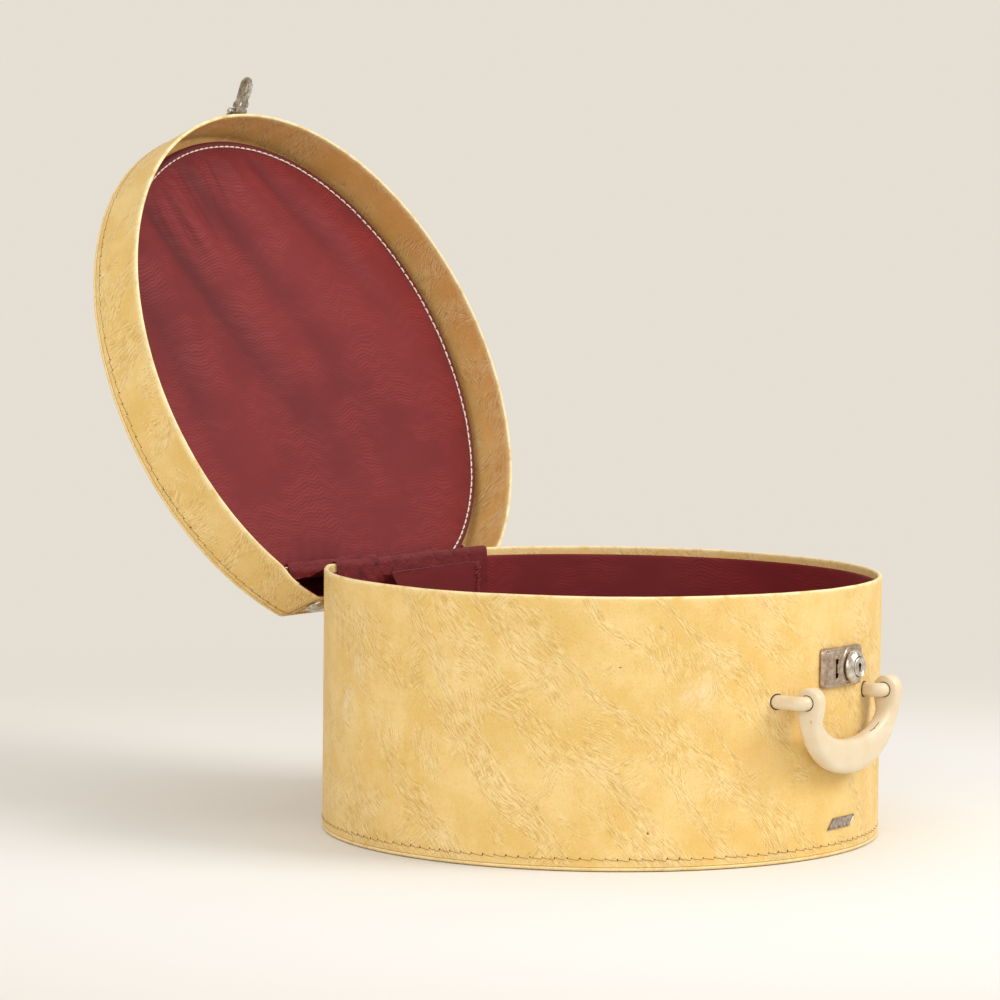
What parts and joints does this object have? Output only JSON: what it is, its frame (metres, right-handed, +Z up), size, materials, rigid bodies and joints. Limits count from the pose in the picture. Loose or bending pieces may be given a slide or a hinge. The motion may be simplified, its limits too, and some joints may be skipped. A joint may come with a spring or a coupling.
{
  "type": "hat box",
  "caption": "Round hat box with a flat back, shown open: hinged lid with a padded cloth lining, hasp and sliding key lock, swinging front handle, cloth-lined base with a pocket.",
  "frame": {"origin": "centre of the base's underside, on the axis of the round wall", "axes": "+Z up through the case, -Y towards the lock and handle, +Y towards the flat hinge side, +X to the right of someone facing the lock"},
  "size_m": [0.4098, 0.5891, 0.5407],
  "materials": {
    "leatherette": "board covered in grained yellow-tan leatherette, satin",
    "lining": "burgundy moire cloth on card",
    "lining_dark": "burgundy moire cloth on card, in shade",
    "ivory": "moulded ivory plastic, glossy",
    "metal": "aged nickel plate",
    "bright_metal": "worn nickel plate",
    "steel": "plain steel"
  },
  "bodies": {
    "base": {"base_bottom": "leatherette", "base_lining_floor": "lining", "base_lining_wall": "lining", "base_wall": "leatherette", "handle_cap_left": "ivory", "handle_cap_right": "ivory", "handle_post_left": "ivory", "handle_post_right": "ivory", "handle_washer_left": "steel", "handle_washer_right": "steel", "hinge_base_leaf_left": "metal", "hinge_base_leaf_right": "metal", "hinge_base_rivet_left_a": "metal", "hinge_base_rivet_left_b": "metal", "hinge_base_rivet_right_a": "metal", "hinge_base_rivet_right_b": "metal", "hinge_gusset": "lining_dark", "hinge_pin_left": "steel", "hinge_pin_right": "steel", "lock_case": "steel", "lock_cover": "lining_dark", "lock_plate": "metal", "lock_spring": "steel", "name_plate": "metal", "pocket_panel": "lining_dark"},
    "lid": {"hasp_leaf": "metal", "hasp_pin": "steel", "hasp_rivet_left": "metal", "hasp_rivet_right": "metal", "hinge_lid_leaf_left": "metal", "hinge_lid_leaf_right": "metal", "hinge_lid_rivet_left_a": "metal", "hinge_lid_rivet_left_b": "metal", "hinge_lid_rivet_right_a": "metal", "hinge_lid_rivet_right_b": "metal", "lid_back_strip": "leatherette", "lid_band": "leatherette", "lid_lining": "lining", "lid_stud_left": "metal", "lid_stud_right": "metal", "lid_top": "leatherette"},
    "hasp": {"hasp": "metal", "hasp_staple": "bright_metal"},
    "handle": {"handle": "ivory"},
    "lock_slide": {"lock_slide": "bright_metal"},
    "key_cylinder": {"key_cylinder": "bright_metal"}
  },
  "joints": [
    {"name": "lid_hinge", "type": "hinge", "parent": "base", "child": "lid", "pos_m": [0, 0.1826, 0.1552], "axis": [1, 0, 0], "range_deg": [0, 113.6]},
    {"name": "hasp_hinge", "type": "hinge", "parent": "lid", "child": "hasp", "pos_m": [0, 0.33391, 0.51502], "axis": [1, 0, 0], "range_deg": [-85, 48], "stiffness_Nm_per_rad": 0.02},
    {"name": "handle_swing", "type": "hinge", "parent": "base", "child": "handle", "pos_m": [0, -0.209, 0.1115], "axis": [1, 0, 0], "range_deg": [-110, 1]},
    {"name": "lock_slide_travel", "type": "slide", "parent": "base", "child": "lock_slide", "axis": [1, 0, 0], "range_m": [0, 0.005]},
    {"name": "key_turn", "type": "hinge", "parent": "lock_slide", "child": "key_cylinder", "pos_m": [0.01, -0.204, 0.1304], "axis": [0, -1, 0], "range_deg": [0, 90]}
  ]
}
